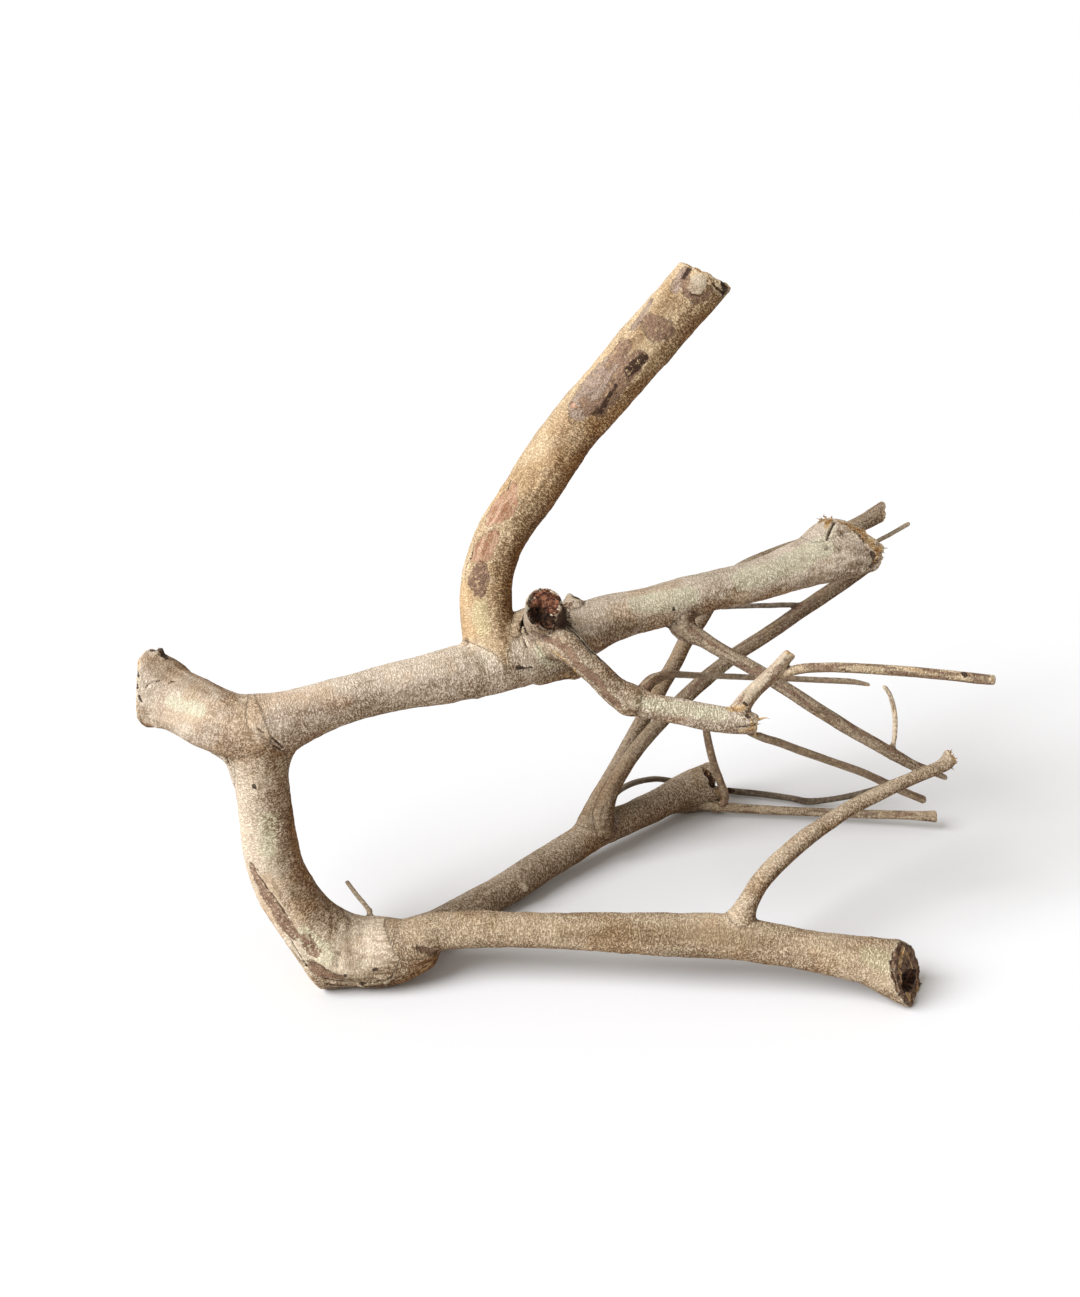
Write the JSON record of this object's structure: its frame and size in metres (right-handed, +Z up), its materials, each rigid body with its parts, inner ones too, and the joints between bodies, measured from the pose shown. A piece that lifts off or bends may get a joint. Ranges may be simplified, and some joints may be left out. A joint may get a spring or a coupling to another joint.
{
  "type": "talawa wood branch",
  "caption": "Branched piece of pale natural talawa wood: a bent stem with a tall prong, long limbs and fine twigs, lying on three feet for a tank, terrarium or display.",
  "frame": {"origin": "middle of the footprint, on the surface that the piece rests on", "axes": "+Z up, +X along the greatest length towards the twigs, +Y away from the side that the prong leans back from"},
  "size_m": [0.4451, 0.2308, 0.3569],
  "materials": {
    "bark": "dry matt bark, tan with dark speckle, worn patches and torn ends"
  },
  "bodies": {
    "root": {"talawa_wood": "bark"}
  },
  "joints": []
}
